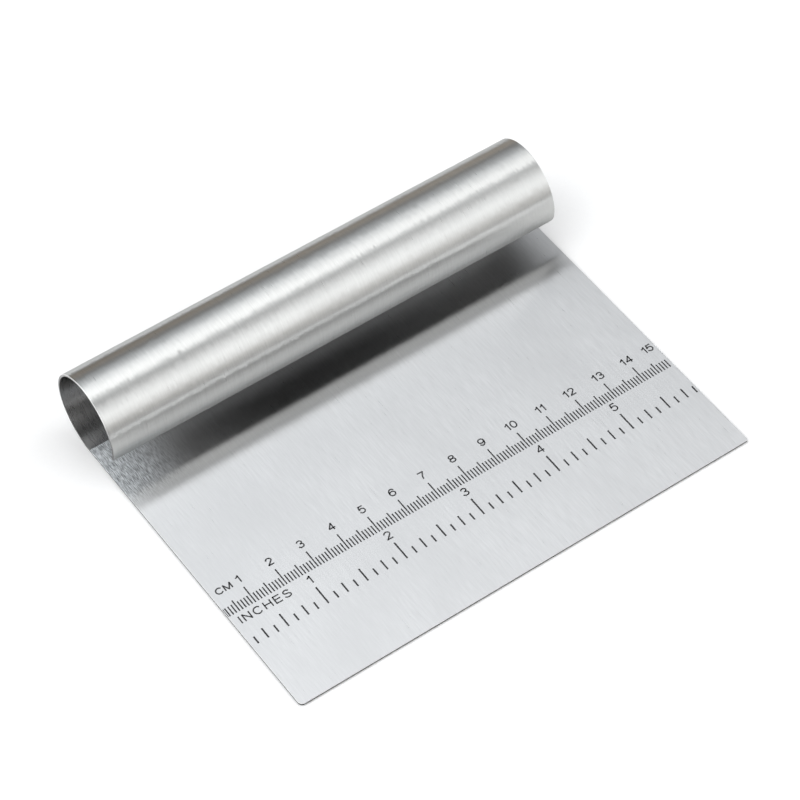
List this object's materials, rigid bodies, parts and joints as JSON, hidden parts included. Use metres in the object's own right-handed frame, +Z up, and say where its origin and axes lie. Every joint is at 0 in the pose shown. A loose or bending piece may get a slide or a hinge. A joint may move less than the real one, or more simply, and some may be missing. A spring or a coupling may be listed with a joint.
{
  "type": "bench scraper",
  "caption": "Flat stainless steel blade with a printed rule, its back edge rolled up and over into an open tube handle.",
  "frame": {"origin": "on the bench under the middle of the part, at the height of the blade's underside", "axes": "+X along the cutting edge towards the high end of the rule, +Y from the cutting edge to the handle, +Z up from the bench"},
  "size_m": [0.149, 0.117, 0.028],
  "materials": {
    "blade_steel": "brushed towards the cutting edge",
    "handle_steel": "brushed round the roll",
    "etched_marks": "black etched marks, a few hundredths of a millimetre thick"
  },
  "bodies": {
    "root": {"blade": "blade_steel", "rolled_handle": "handle_steel"}
  },
  "joints": []
}
